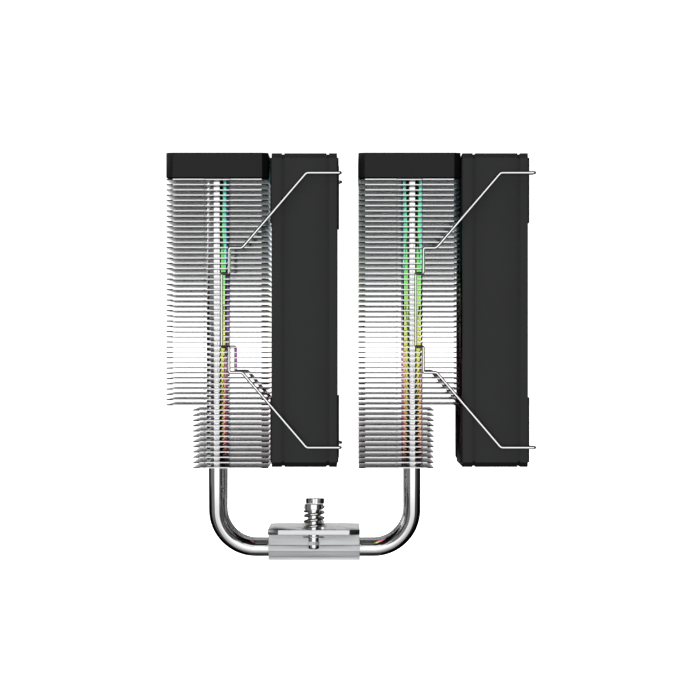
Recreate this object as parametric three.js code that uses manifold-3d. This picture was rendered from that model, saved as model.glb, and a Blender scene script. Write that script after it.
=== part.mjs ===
// Dual-tower CPU air cooler: two fin stacks on six U-shaped heat pipes, a cold plate with a
// clamping bar and spring screws, two 120 mm fans, and bent wire clips that hold the fans.
// Millimetres, +Z up. The origin is the centre of the cold plate's contact face. +X runs from
// the left tower to the right tower, along the fans' axes, and +Y runs across the towers.

import * as THREE from "three";
import { mergeVertices } from "three/addons/utils/BufferGeometryUtils.js";
import Module from "manifold-3d";

// ---- Driving dimensions ----

const GAP = 0.3; // clearance kept between neighbouring pieces

// Heat pipes: U-shaped, side by side in the base and fanned out in the fins
const PIPE_COUNT = 6;
const PIPE_R = 3;
const PIPE_Z = 4.5; // centre height in the base
const PIPE_BASE_PITCH = 6.3;
const PIPE_FIN_PITCH = 10;
const PIPE_BEND_R = 15;
const PIPE_X = 38; // distance of the upright legs from the centre
const PIPE_TOP = 152;
const PIPE_SPREAD_TOP = 34; // height at which the legs reach their pitch in the fins

// Base
const BASE_X = 35.6;
const BASE_Y = 40;
const COLD_PLATE_TOP = 5.6;
const TOP_BLOCK_BOTTOM = 5.9;
const TOP_BLOCK_TOP = 10.2;
const CHANNEL_Y = 37.8; // width of the open channel over the pipe grooves
const CHANNEL_FLOOR = 4;

// Clamping bar
const BAR_BOTTOM = 10.5;
const BAR_TOP = 12.4;
const BAR_LENGTH = 88;
const BAR_CORNER = 4;
const BAR_SCREW_Y = 12.6;
const BAR_SCREW_R = 1.2;
const BAR_SCREW_HEAD_R = 2.6;
const BAR_SCREW_HEAD = 1.3;
const BAR_SCREW_TIP = 8.4;
const BAR_SCREW_HOLE_R = 1.6;
const SCREW_Y = 40.5;

// Spring screws, springs and retaining rings
const SCREW_TIP = 4.9;
const SCREW_R = 2.25;
const SCREW_GROOVE_R = 1.7;
const SCREW_HEAD_BOTTOM = 20.2;
const SCREW_HEAD_TOP = 22.4;
const SCREW_HEAD_R = 3.7;
const SCREW_HOLE_R = 2.7;
const CROSS_LENGTH = 4.4;
const CROSS_WIDTH = 0.9;
const CROSS_DEPTH = 1.2;
const SLOT_WIDTH = 0.7;
const SLOT_DEPTH = 0.6;
const SPRING_R = 3.4; // to the wire's centre
const SPRING_WIRE_R = 0.55;
const SPRING_TURNS = 2.5;
const RING_BOTTOM = 9.45;
const RING_TOP = 9.8;
const RING_R = 4.3;

// Towers
const TOWER_X = 36.75; // centre of each tower
const TOWER_WIDTH = 38.9;
const TOWER_DEPTH = 120;
const CHAMFER = 2.4;
const PLATE_COUNT = 14; // each plate stands for four 0.4 mm fins
const SHORT_PLATES = 3;
const PLATE_THICKNESS = 1.6;
const STACK_BOTTOM = 36.3;
const STACK_TOP = 147.2;
const SHORT_OUTER = 9.3; // how far a short plate reaches outwards from the tower's centre
const RECESS_MOUTH = 10.8; // recess for the fan clip, at both ends of each plate
const RECESS_FLOOR = 9.2;
const RECESS_DEPTH = 2.5;
const COLLAR_WALL = 0.5;

// Top covers
const COVER_WIDTH = 39.1;
const COVER_BOTTOM = 147.6;
const COVER_TOP = 157.2;
const COVER_WALL = 1.6;
const COVER_RIB = 1.4;
const COVER_RIB_LIFT = 2.5; // how far the ribs' lower edges stay above the cover's rim

// Fans, in their own frame: the axis is X, x = 0 is the face towards the fins
const FAN_SIZE = 120;
const FAN_DEPTH = 25;
const FAN_Z = 97;
const FAN_FACE_X = [-16, 57];
const FAN_CORNER = 2;
const DUCT_R = 57.4;
const FAN_HOLE_AT = 52.5;
const FAN_HOLE_R = 2.3;
const MOTOR_BASE_R = 20.5;
const MOTOR_BASE_DEPTH = 2.4;
const MOTOR_BASE_BACK = 0.2;
const STRUT_COUNT = 4;
const STRUT_WIDTH = 4.5;
const STRUT_BACK = 0.4;
const STRUT_OVERLAP = 1.5; // how far a strut's ends run into the motor base and the duct's wall
const BEARING_TUBE_IN = 4.2;
const BEARING_TUBE_OUT = 5.8;
const BEARING_TUBE_END = 17.5;
const SHAFT_R = 1.5;
const HUB_R = 20.3;
const HUB_WALL = 1.5;
const HUB_BACK = 5.5;
const HUB_FRONT = 22;
const MAGNET_OUT = 18.4;
const MAGNET_IN = 16.6;
const MAGNET_X = [7, 18];
const STATOR_R = 9;
const STATOR_X = [8, 17];
const POLE_COUNT = 4;
const POLE_LENGTH = 6; // along the axis
const LIMB_WIDTH = 4;
const LIMB_Z = [7.5, 14.5]; // distances from the axis
const SHOE_WIDTH = 11;
const SHOE_Z = [13.4, 15];
const BOARD_R = 17.5;
const BOARD_X = [3, 4.4];
const RING_CLEARANCE = 0.45; // between the bearing tube and the rings that sit on it
const BLADE_COUNT = 9;
const BLADE_TIP_R = 55.8;
const BLADE_THICKNESS = 1.6;
const BLADE_SPAN_ROOT = 31; // degrees of arc that a blade covers, and the same at its tip
const BLADE_SPAN_TIP = 35;
const BLADE_DEPTH_ROOT = 14.5; // along the axis
const BLADE_DEPTH_TIP = 12;
const BLADE_SWEEP = 12; // degrees
const BLADE_CAMBER = 1.6;

// Rubber corner pads
const PAD_REST = 0.1; // between the frame's face and the pad
const PAD_INNER = 0.5; // how far a pad stands out, on the face towards the fins and on the other
const PAD_OUTER = 0.6;
const PAD_START = 33.4; // from the fan's axis to the pad's inner edges, and to its outer ones
const PAD_END = 58.3;
const PAD_CORNER = 1;
const PAD_OPENING_R = 3.3;

// Fan clips, measured from the tower's centre in X and from the fan's centre in Z
const WIRE_R = 0.6;
const WIRE_Y = 61.2;
const CLIP_STUB = 3; // how far the wire's end reaches into the fan's screw hole
const CLIP_END_X = 47.9;
const CLIP_SLOPE_OUT = 34.95;
const CLIP_SLOPE_IN = 10.35;
const CLIP_SHORT_X = 5.35;
const CLIP_LONG_X = 2.45;
const CLIP_LONG_Y = 58.9;
const CLIP_SHORT_Z = 23.8;
const CLIP_LONG_Z = 14;
const CLIP_BEND = 1.5;
const CLIP_SHIFT = [-0.75, 0]; // how far each fan's clips sit from that place

// ---- Materials ----

const metal = (color, roughness) =>
  new THREE.MeshStandardMaterial({ color, roughness, metalness: 1 });
const plastic = (color, roughness) =>
  new THREE.MeshStandardMaterial({ color, roughness, metalness: 0 });

const MATERIALS = {
  copper: () => metal(0xc7cacc, 0.32),
  aluminium: () => metal(0xc9ccce, 0.35),
  pipe: () => metal(0xd6d6d6, 0.08),
  fins: () => metal(0xd8d8d9, 0.2),
  cover: () => plastic(0x29292a, 0.5),
  steel: () => metal(0xc4c5c6, 0.25),
  chrome: () => metal(0xdcdcdc, 0.1),
  frame: () => plastic(0x313232, 0.55),
  blade: () => plastic(0xe6e8ea, 0.35),
  rubber: () => plastic(0x222222, 0.85),
  brass: () => metal(0xb48a4a, 0.35),
  magnet: () => metal(0x3c3a38, 0.6),
  winding: () => metal(0x9a5b33, 0.45),
  board: () => plastic(0x1c3a2a, 0.5),
};

// ---- Solids: boolean joins and cuts of closed meshes ----

const wasm = await Module();
wasm.setup();

function toSolid(geometry) {
  const bare = geometry.clone();
  bare.deleteAttribute("normal");
  bare.deleteAttribute("uv");
  const merged = mergeVertices(bare, 1e-4);
  return new wasm.Manifold(
    new wasm.Mesh({
      numProp: 3,
      vertProperties: new Float32Array(merged.attributes.position.array),
      triVerts: new Uint32Array(merged.index.array),
    }),
  );
}

function toGeometry(solid) {
  const mesh = solid.getMesh();
  const geometry = new THREE.BufferGeometry();
  geometry.setAttribute("position", new THREE.BufferAttribute(mesh.vertProperties, 3));
  geometry.setIndex(new THREE.BufferAttribute(mesh.triVerts, 1));
  geometry.computeVertexNormals();
  return geometry;
}

const joined = (pieces) => pieces.map(toSolid).reduce((whole, piece) => whole.add(piece));
const join = (...pieces) => toGeometry(joined(pieces));
const cut = (body, ...tools) => toGeometry(toSolid(body).subtract(joined(tools)));

// ---- Shapes ----

const ALONG_X = new THREE.Matrix4().makeBasis(
  new THREE.Vector3(0, 1, 0),
  new THREE.Vector3(0, 0, 1),
  new THREE.Vector3(1, 0, 0),
);

// A prism of the outline between two heights. sides is how many flats a full circle gets.
function prismZ(shape, bottom, top, sides = 12) {
  const geometry = new THREE.ExtrudeGeometry(shape, {
    depth: top - bottom,
    bevelEnabled: false,
    curveSegments: sides / 2,
  });
  return geometry.translate(0, 0, bottom);
}

// The same between two places along X: the outline's own x and y become Y and Z.
function prismX(shape, from, to, sides = 12) {
  return prismZ(shape, from, to, sides).applyMatrix4(ALONG_X);
}

function box(x0, x1, y0, y1, z0, z1) {
  const geometry = new THREE.BoxGeometry(x1 - x0, y1 - y0, z1 - z0);
  return geometry.translate((x0 + x1) / 2, (y0 + y1) / 2, (z0 + z1) / 2);
}

// A disc, or a ring where a hole radius is given.
function ringShape(radius, holeRadius = 0) {
  const shape = new THREE.Shape().absarc(0, 0, radius, 0, 2 * Math.PI, false);
  if (holeRadius > 0) shape.holes.push(hole(0, 0, holeRadius));
  return shape;
}

function hole(x, y, radius) {
  return new THREE.Path().absarc(x, y, radius, 0, 2 * Math.PI, true);
}

// A square whose inscribed circle has the given radius.
function squareShape(x, y, r) {
  const corners = [[-r, -r], [r, -r], [r, r], [-r, r]];
  return new THREE.Shape(corners.map(([dx, dy]) => new THREE.Vector2(x + dx, y + dy)));
}

// A rectangle with its four corners cut at 45 degrees.
function cutCornerShape(width, depth, corner) {
  const w = width / 2;
  const d = depth / 2;
  return new THREE.Shape([
    new THREE.Vector2(-w + corner, -d),
    new THREE.Vector2(w - corner, -d),
    new THREE.Vector2(w, -d + corner),
    new THREE.Vector2(w, d - corner),
    new THREE.Vector2(w - corner, d),
    new THREE.Vector2(-w + corner, d),
    new THREE.Vector2(-w, d - corner),
    new THREE.Vector2(-w, -d + corner),
  ]);
}

// A run of straight stretches between stations, so that steps fall only where the run bends.
class StationCurve extends THREE.Curve {
  constructor(stations) {
    super();
    this.stations = stations;
  }
  getUtoTmapping(u) {
    return u;
  }
  getPoint(t) {
    const last = this.stations.length - 1;
    const at = Math.min(Math.max(t, 0), 1) * last;
    const i = Math.min(Math.floor(at), last - 1);
    return this.stations[i].clone().lerp(this.stations[i + 1], at - i);
  }
}

// A round bar or pipe that follows the stations.
function barAlong(stations, radius, sides) {
  return new THREE.ExtrudeGeometry(ringShape(radius), {
    steps: stations.length - 1,
    curveSegments: sides / 2,
    bevelEnabled: false,
    extrudePath: new StationCurve(stations),
  });
}

// ---- Base: cold plate, top block, clamping bar and its two screws ----

const pipeRows = Array.from({ length: PIPE_COUNT }, (_, k) => k - (PIPE_COUNT - 1) / 2);

function grooveTools() {
  const grooveR = (PIPE_R + GAP) / Math.cos(Math.PI / 12);
  return pipeRows.map((row) =>
    prismX(ringShape(grooveR), -BASE_X, BASE_X).translate(0, row * PIPE_BASE_PITCH, PIPE_Z),
  );
}

function coldPlate() {
  const plate = box(-BASE_X / 2, BASE_X / 2, -BASE_Y / 2, BASE_Y / 2, 0, COLD_PLATE_TOP);
  const c = CHANNEL_Y / 2;
  const channel = box(-BASE_X, BASE_X, -c, c, CHANNEL_FLOOR, COLD_PLATE_TOP + 1);
  return cut(plate, channel, ...grooveTools());
}

function topBlock() {
  const b = BASE_X / 2;
  const d = BASE_Y / 2;
  const block = box(-b, b, -d, d, TOP_BLOCK_BOTTOM, TOP_BLOCK_TOP);
  const holeFloor = BAR_SCREW_TIP - GAP;
  const screwHoles = [-1, 1].map((side) =>
    prismZ(ringShape(BAR_SCREW_HOLE_R), holeFloor, TOP_BLOCK_TOP + 1).translate(0, side * BAR_SCREW_Y, 0),
  );
  return cut(block, ...screwHoles, ...grooveTools());
}

function clampingBar() {
  const shape = cutCornerShape(BASE_X, BAR_LENGTH, BAR_CORNER);
  [-1, 1].forEach((side) => {
    shape.holes.push(hole(0, side * SCREW_Y, SCREW_HOLE_R));
    shape.holes.push(hole(0, side * BAR_SCREW_Y, BAR_SCREW_HOLE_R));
  });
  return prismZ(shape, BAR_BOTTOM, BAR_TOP);
}

// A low-headed screw that fastens the bar to the top block.
function barScrew() {
  const headBottom = BAR_TOP + GAP;
  const headTop = headBottom + BAR_SCREW_HEAD;
  const shank = prismZ(ringShape(BAR_SCREW_R), BAR_SCREW_TIP, headTop - SLOT_DEPTH);
  const head = prismZ(ringShape(BAR_SCREW_HEAD_R), headBottom, headTop);
  const w = SLOT_WIDTH / 2;
  const slot = box(-w, w, -SCREW_HEAD_R, SCREW_HEAD_R, headTop - SLOT_DEPTH, headTop + 1);
  return toGeometry(joined([shank, head]).subtract(toSolid(slot)));
}

// ---- Spring screws, springs and retaining rings, on the Z axis ----

function springScrew() {
  const grooveBottom = RING_BOTTOM - GAP;
  const grooveTop = RING_TOP + GAP;
  const profile = [
    [0, SCREW_TIP],
    [SCREW_R - 0.5, SCREW_TIP],
    [SCREW_R, SCREW_TIP + 0.6],
    [SCREW_R, grooveBottom],
    [SCREW_GROOVE_R, grooveBottom],
    [SCREW_GROOVE_R, grooveTop],
    [SCREW_R, grooveTop],
    [SCREW_R, SCREW_HEAD_BOTTOM],
    [SCREW_HEAD_R, SCREW_HEAD_BOTTOM],
    [SCREW_HEAD_R, SCREW_HEAD_TOP],
    [0, SCREW_HEAD_TOP],
  ].map(([r, z]) => new THREE.Vector2(r, z));
  const body = new THREE.LatheGeometry(profile, 10).rotateX(Math.PI / 2);
  const floor = SCREW_HEAD_TOP - CROSS_DEPTH;
  const w = CROSS_WIDTH / 2;
  const l = CROSS_LENGTH / 2;
  const crossRecess = [
    box(-w, w, -l, l, floor, SCREW_HEAD_TOP + 1),
    box(-l, l, -w, w, floor, SCREW_HEAD_TOP + 1),
  ];
  return cut(body, ...crossRecess);
}

function spring() {
  const bottom = BAR_TOP + GAP + SPRING_WIRE_R;
  const top = SCREW_HEAD_BOTTOM - GAP - SPRING_WIRE_R;
  const steps = SPRING_TURNS * 10;
  const stations = Array.from({ length: steps + 1 }, (_, k) => {
    const turn = (k / steps) * SPRING_TURNS * 2 * Math.PI;
    const z = bottom + (top - bottom) * (k / steps);
    return new THREE.Vector3(SPRING_R * Math.cos(turn), SPRING_R * Math.sin(turn), z);
  });
  return barAlong(stations, SPRING_WIRE_R, 6);
}

function retainingRing() {
  return prismZ(ringShape(RING_R, SCREW_GROOVE_R + GAP), RING_BOTTOM, RING_TOP, 14);
}

// ---- Heat pipes ----

function heatPipe(row) {
  const bendX = PIPE_X - PIPE_BEND_R;
  const bendZ = PIPE_Z + PIPE_BEND_R;
  const straightEnd = BASE_X / 2 + 0.8;
  const leg = [new THREE.Vector2(straightEnd, PIPE_Z), new THREE.Vector2(bendX, PIPE_Z)];
  for (const degrees of [-67.5, -45, -22.5, 0]) {
    const a = THREE.MathUtils.degToRad(degrees);
    const x = bendX + PIPE_BEND_R * Math.cos(a);
    leg.push(new THREE.Vector2(x, bendZ + PIPE_BEND_R * Math.sin(a)));
  }
  leg.push(new THREE.Vector2(PIPE_X, (bendZ + PIPE_SPREAD_TOP) / 2));
  leg.push(new THREE.Vector2(PIPE_X, PIPE_SPREAD_TOP));
  const lengths = leg.map((p, i) => (i === 0 ? 0 : p.distanceTo(leg[i - 1])));
  const total = lengths.reduce((sum, length) => sum + length);
  let travelled = 0;
  const half = leg.map((p, i) => {
    travelled += lengths[i];
    const spread = THREE.MathUtils.smoothstep(travelled, 0, total);
    const pitch = THREE.MathUtils.lerp(PIPE_BASE_PITCH, PIPE_FIN_PITCH, spread);
    return new THREE.Vector3(p.x, row * pitch, p.y);
  });
  half.push(new THREE.Vector3(PIPE_X, row * PIPE_FIN_PITCH, PIPE_TOP));
  const otherHalf = half.map((p) => new THREE.Vector3(-p.x, p.y, p.z)).reverse();
  return barAlong([...otherHalf, ...half], PIPE_R, 8);
}

// ---- Towers, about their own centre line, with +X the side that faces outwards ----

// A plate's outline from the inner edge to the given outer edge, with the clip recesses.
function plateShape(outer) {
  const inner = -TOWER_WIDTH / 2;
  const end = TOWER_DEPTH / 2;
  const floor = end - RECESS_DEPTH;
  const quarter = [
    [RECESS_FLOOR / 2, floor],
    [RECESS_MOUTH / 2, end],
    [outer - CHAMFER, end],
    [outer, end - CHAMFER],
  ];
  const innerQuarter = [
    [inner, end - CHAMFER],
    [inner + CHAMFER, end],
    [-RECESS_MOUTH / 2, end],
    [-RECESS_FLOOR / 2, floor],
  ];
  const farHalf = [...innerQuarter, ...quarter];
  const nearHalf = farHalf.map(([x, y]) => [x, -y]).reverse();
  return new THREE.Shape([...farHalf, ...nearHalf].reverse().map(([x, y]) => new THREE.Vector2(x, y)));
}

function finStack() {
  const pipeX = PIPE_X - TOWER_X;
  const pitch = (STACK_TOP - STACK_BOTTOM - PLATE_THICKNESS) / (PLATE_COUNT - 1);
  const pieces = [];
  for (let k = 0; k < PLATE_COUNT; k++) {
    const outer = k < SHORT_PLATES ? SHORT_OUTER : TOWER_WIDTH / 2;
    const bottom = STACK_BOTTOM + k * pitch;
    pieces.push(prismZ(plateShape(outer), bottom, bottom + PLATE_THICKNESS));
  }
  const bores = [];
  for (const row of pipeRows) {
    const y = row * PIPE_FIN_PITCH;
    const collar = squareShape(pipeX, y, PIPE_R + GAP + COLLAR_WALL);
    const bore = squareShape(pipeX, y, PIPE_R + GAP);
    pieces.push(prismZ(collar, STACK_BOTTOM + 0.2, STACK_TOP - 0.2));
    bores.push(prismZ(bore, STACK_BOTTOM - 1, STACK_TOP + 1));
  }
  return toGeometry(joined(pieces).subtract(joined(bores)));
}

// A cap that is open below, with moulded ribs that pass between the pipe ends.
function topCover() {
  const outside = cutCornerShape(COVER_WIDTH, TOWER_DEPTH, CHAMFER);
  const wall = 2 * COVER_WALL;
  const inside = cutCornerShape(COVER_WIDTH - wall, TOWER_DEPTH - wall, CHAMFER);
  const ceiling = COVER_TOP - COVER_WALL;
  const shell = cut(prismZ(outside, COVER_BOTTOM, COVER_TOP), prismZ(inside, 0, ceiling));
  const r = COVER_RIB / 2;
  const half = COVER_WIDTH / 2 - COVER_WALL / 2;
  const ribs = [-2, -1, 1, 2].map((k) => {
    const y = k * PIPE_FIN_PITCH;
    return box(-half, half, y - r, y + r, COVER_BOTTOM + COVER_RIB_LIFT, ceiling + COVER_WALL / 2);
  });
  return join(shell, ...ribs);
}

// ---- Fans ----

// The frame with its round duct, screw holes, four struts, motor base and bearing tube.
function fanFrame() {
  const outline = cutCornerShape(FAN_SIZE, FAN_SIZE, FAN_CORNER);
  const at = FAN_HOLE_AT;
  for (const [y, z] of [[at, at], [-at, at], [-at, -at], [at, -at]]) {
    outline.holes.push(hole(y, z, FAN_HOLE_R));
  }
  const block = toSolid(prismX(outline, 0, FAN_DEPTH, 10));
  const duct = toSolid(prismX(ringShape(DUCT_R), -1, FAN_DEPTH + 1, 32));
  const strutStart = MOTOR_BASE_R - STRUT_OVERLAP;
  const strutLength = DUCT_R + STRUT_OVERLAP - strutStart;
  const struts = Array.from({ length: STRUT_COUNT }, (_, k) => {
    const strut = new THREE.BoxGeometry(MOTOR_BASE_DEPTH, STRUT_WIDTH, strutLength);
    strut.translate(MOTOR_BASE_DEPTH / 2 + STRUT_BACK, 0, strutStart + strutLength / 2);
    return strut.rotateX(((k + 0.5) * 2 * Math.PI) / STRUT_COUNT);
  });
  const baseFront = MOTOR_BASE_BACK + MOTOR_BASE_DEPTH;
  const base = prismX(ringShape(MOTOR_BASE_R), MOTOR_BASE_BACK, baseFront, 24);
  const tube = prismX(ringShape(BEARING_TUBE_OUT), MOTOR_BASE_DEPTH, BEARING_TUBE_END, 14);
  const tubeBore = prismX(ringShape(BEARING_TUBE_IN), baseFront, FAN_DEPTH, 14);
  const middle = joined([base, tube, ...struts]).subtract(toSolid(tubeBore));
  return toGeometry(block.subtract(duct).add(middle));
}

// One blade: a thin plate, bent round the axis, with more pitch at the root than at the tip.
function fanBlade(index) {
  const rootR = HUB_R - 0.8;
  const blade = new THREE.BoxGeometry(1, 1, 1, 3, 1, 2);
  const spot = blade.attributes.position;
  for (let i = 0; i < spot.count; i++) {
    const along = spot.getZ(i) + 0.5;
    const chord = spot.getX(i);
    const radius = THREE.MathUtils.lerp(rootR, BLADE_TIP_R, along);
    const span = THREE.MathUtils.lerp(BLADE_SPAN_ROOT, BLADE_SPAN_TIP, along);
    const width = THREE.MathUtils.degToRad(span);
    const depth = THREE.MathUtils.lerp(BLADE_DEPTH_ROOT, BLADE_DEPTH_TIP, along);
    const sweep = THREE.MathUtils.degToRad(BLADE_SWEEP * along);
    const camber = BLADE_CAMBER * (1 - 4 * chord * chord);
    const angle = chord * width + sweep + (index * 2 * Math.PI) / BLADE_COUNT;
    const x = (HUB_BACK + HUB_FRONT) / 2 + chord * depth + camber + spot.getY(i) * BLADE_THICKNESS;
    spot.setXYZ(i, x, radius * Math.cos(angle), radius * Math.sin(angle));
  }
  return blade;
}

function fanRotor() {
  const hub = cut(
    prismX(ringShape(HUB_R), HUB_BACK, HUB_FRONT, 24),
    prismX(ringShape(HUB_R - HUB_WALL), HUB_BACK - 1, HUB_FRONT - HUB_WALL, 24),
  );
  const blades = Array.from({ length: BLADE_COUNT }, (_, k) => toSolid(fanBlade(k)));
  const boreTool = toSolid(prismX(ringShape(HUB_R - HUB_WALL), 0, HUB_FRONT - HUB_WALL, 24));
  const allBlades = blades.reduce((whole, piece) => whole.add(piece)).subtract(boreTool);
  return toGeometry(toSolid(hub).add(allBlades));
}

const fanShaft = () =>
  prismX(ringShape(SHAFT_R), MOTOR_BASE_DEPTH + 1, HUB_FRONT - HUB_WALL - GAP, 10);

const fanBearing = () =>
  prismX(ringShape(BEARING_TUBE_IN - GAP, SHAFT_R + GAP), MOTOR_BASE_DEPTH + 1, BEARING_TUBE_END, 12);

const magnetRing = () => prismX(ringShape(MAGNET_OUT, MAGNET_IN), ...MAGNET_X, 16);

// Wound poles on a ring round the bearing tube: each is a limb with a wider shoe at its end.
function stator() {
  const core = prismX(ringShape(STATOR_R, BEARING_TUBE_OUT + RING_CLEARANCE), ...STATOR_X, 12);
  const start = (STATOR_X[0] + STATOR_X[1] - POLE_LENGTH) / 2;
  const end = start + POLE_LENGTH;
  const poles = Array.from({ length: POLE_COUNT }, (_, k) => k).flatMap((k) => {
    const limb = box(start, end, -LIMB_WIDTH / 2, LIMB_WIDTH / 2, ...LIMB_Z);
    const shoe = box(start, end, -SHOE_WIDTH / 2, SHOE_WIDTH / 2, ...SHOE_Z);
    return [limb, shoe].map((piece) => piece.rotateX((k * 2 * Math.PI) / POLE_COUNT));
  });
  return join(core, ...poles);
}

const ledBoard = () => prismX(ringShape(BOARD_R, BEARING_TUBE_OUT + RING_CLEARANCE), ...BOARD_X, 16);

// A rubber pad that covers one corner of a face, with an opening for the screw hole.
function cornerPad(from, to) {
  const ductEdge = DUCT_R + PAD_CORNER;
  const slope = Math.sqrt(ductEdge * ductEdge - PAD_START * PAD_START);
  const corner = PAD_END - PAD_CORNER;
  const outline = [
    [PAD_START, PAD_END],
    [PAD_START, slope],
    [slope, PAD_START],
    [PAD_END, PAD_START],
    [PAD_END, corner],
    [corner, PAD_END],
  ].map(([y, z]) => new THREE.Vector2(y, z));
  const shape = new THREE.Shape(outline);
  shape.holes.push(hole(FAN_HOLE_AT, FAN_HOLE_AT, PAD_OPENING_R));
  return prismX(shape, from, to, 8);
}

// ---- Fan clips ----

// Corner stations of a bent wire: each corner is cut short on both sides.
function bentStations(points, bend) {
  const stations = [points[0]];
  for (let i = 1; i < points.length - 1; i++) {
    for (const other of [points[i - 1], points[i + 1]]) {
      const reach = Math.min(bend, points[i].distanceTo(other) * 0.4);
      const step = other.clone().sub(points[i]).setLength(reach);
      stations.push(points[i].clone().add(step));
    }
  }
  stations.push(points[points.length - 1]);
  return stations;
}

// side is -1 for the clip at the near end of the tower and 1 for the far end.
function fanClip(clipX, fanFront, side) {
  const upper = [
    [fanFront - CLIP_STUB, FAN_HOLE_AT, FAN_HOLE_AT],
    [clipX + CLIP_END_X, FAN_HOLE_AT, FAN_HOLE_AT],
    [clipX + CLIP_END_X, WIRE_Y, FAN_HOLE_AT],
    [clipX + CLIP_SLOPE_OUT, WIRE_Y, FAN_HOLE_AT],
    [clipX + CLIP_SLOPE_IN, WIRE_Y, CLIP_SHORT_Z],
    [clipX + CLIP_SHORT_X, WIRE_Y, CLIP_SHORT_Z],
    [clipX + CLIP_SHORT_X, WIRE_Y, CLIP_LONG_Z],
    [clipX + CLIP_LONG_X, CLIP_LONG_Y, CLIP_LONG_Z],
  ];
  const lower = upper.map(([x, y, z]) => [x, y, -z]).reverse();
  const points = [...upper, ...lower].map(([x, y, z]) => new THREE.Vector3(x, side * y, FAN_Z + z));
  return barAlong(bentStations(points, CLIP_BEND), WIRE_R, 6);
}

// ---- Assembly ----

const cooler = new THREE.Group();

function addPart(parent, name, geometry, material) {
  const mesh = new THREE.Mesh(geometry, MATERIALS[material]());
  mesh.name = name;
  parent.add(mesh);
  return mesh;
}

addPart(cooler, "cold_plate", coldPlate(), "copper");
addPart(cooler, "base_top_block", topBlock(), "aluminium");
addPart(cooler, "clamping_bar", clampingBar(), "steel");
pipeRows.forEach((row, k) => addPart(cooler, `heat_pipe_${k + 1}`, heatPipe(row), "pipe"));

for (const [end, side] of [["front", -1], ["rear", 1]]) {
  const barScrewMesh = addPart(cooler, `bar_screw_${end}`, barScrew(), "chrome");
  barScrewMesh.position.y = side * BAR_SCREW_Y;
  const fixing = new THREE.Group();
  fixing.position.y = side * SCREW_Y;
  addPart(fixing, `spring_screw_${end}`, springScrew(), "chrome");
  addPart(fixing, `screw_spring_${end}`, spring(), "steel");
  addPart(fixing, `retaining_ring_${end}`, retainingRing(), "steel");
  cooler.add(fixing);
}

for (const [place, side] of [["left", -1], ["right", 1]]) {
  const tower = new THREE.Group();
  tower.position.x = side * TOWER_X;
  tower.rotation.z = side < 0 ? Math.PI : 0;
  addPart(tower, `fin_stack_${place}`, finStack(), "fins");
  addPart(tower, `top_cover_${place}`, topCover(), "cover");
  cooler.add(tower);
}

["middle", "outer"].forEach((place, k) => {
  const fan = new THREE.Group();
  fan.position.set(FAN_FACE_X[k], 0, FAN_Z);
  addPart(fan, `${place}_fan_frame`, fanFrame(), "frame");
  addPart(fan, `${place}_fan_rotor`, fanRotor(), "blade");
  addPart(fan, `${place}_fan_shaft`, fanShaft(), "steel");
  addPart(fan, `${place}_fan_bearing`, fanBearing(), "brass");
  addPart(fan, `${place}_fan_magnet_ring`, magnetRing(), "magnet");
  addPart(fan, `${place}_fan_stator`, stator(), "winding");
  addPart(fan, `${place}_fan_led_board`, ledBoard(), "board");
  const faces = [
    ["inner", -PAD_INNER, -PAD_REST],
    ["outer", FAN_DEPTH + PAD_REST, FAN_DEPTH + PAD_OUTER],
  ];
  for (const [face, from, to] of faces) {
    ["rear_top", "front_top", "front_bottom", "rear_bottom"].forEach((corner, turn) => {
      const name = `${place}_fan_pad_${face}_${corner}`;
      const pad = addPart(fan, name, cornerPad(from, to), "rubber");
      pad.rotation.x = (turn * Math.PI) / 2;
    });
  }
  cooler.add(fan);

  const clipX = [-TOWER_X, TOWER_X][k] + CLIP_SHIFT[k];
  const fanFront = FAN_FACE_X[k] + FAN_DEPTH;
  for (const [end, side] of [["front", -1], ["rear", 1]]) {
    addPart(cooler, `${place}_fan_clip_${end}`, fanClip(clipX, fanFront, side), "chrome");
  }
});

export default cooler;
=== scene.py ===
import math

import bmesh
import bpy
from mathutils import Matrix, Vector


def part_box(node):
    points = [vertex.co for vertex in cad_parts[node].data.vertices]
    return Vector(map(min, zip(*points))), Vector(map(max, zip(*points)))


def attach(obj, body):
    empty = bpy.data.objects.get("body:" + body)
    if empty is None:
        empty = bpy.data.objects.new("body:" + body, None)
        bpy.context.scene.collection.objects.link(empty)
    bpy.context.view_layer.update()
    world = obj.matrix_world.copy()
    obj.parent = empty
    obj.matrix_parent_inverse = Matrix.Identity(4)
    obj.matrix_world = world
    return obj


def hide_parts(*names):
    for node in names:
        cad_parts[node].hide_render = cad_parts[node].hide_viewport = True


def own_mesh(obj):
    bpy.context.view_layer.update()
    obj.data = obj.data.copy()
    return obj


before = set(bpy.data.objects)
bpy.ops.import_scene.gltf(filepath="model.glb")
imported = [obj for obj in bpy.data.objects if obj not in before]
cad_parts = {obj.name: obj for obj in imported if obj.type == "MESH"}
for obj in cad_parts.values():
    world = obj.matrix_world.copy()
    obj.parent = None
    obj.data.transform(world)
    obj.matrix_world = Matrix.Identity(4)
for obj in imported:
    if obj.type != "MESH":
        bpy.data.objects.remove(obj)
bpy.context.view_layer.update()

MM = 0.001


# ---- Camera, floor and studio ----
# A long lens looks level along +Y at the cooler's side, over a pale floor. The studio has
# white panels before, behind and to the left of the cooler. The rest of it is dark, so that
# bright metal shows hard black and white bands.

LENS = 277.25
CAMERA_PLACE = (14.0 * MM, -2120 * MM, 81.75 * MM)
PANEL_LIGHT = 1.15
SHEET_LIGHT = 1.3
FLOOR_REACH = 6
FLOOR_Z = -0.3 * MM

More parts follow.
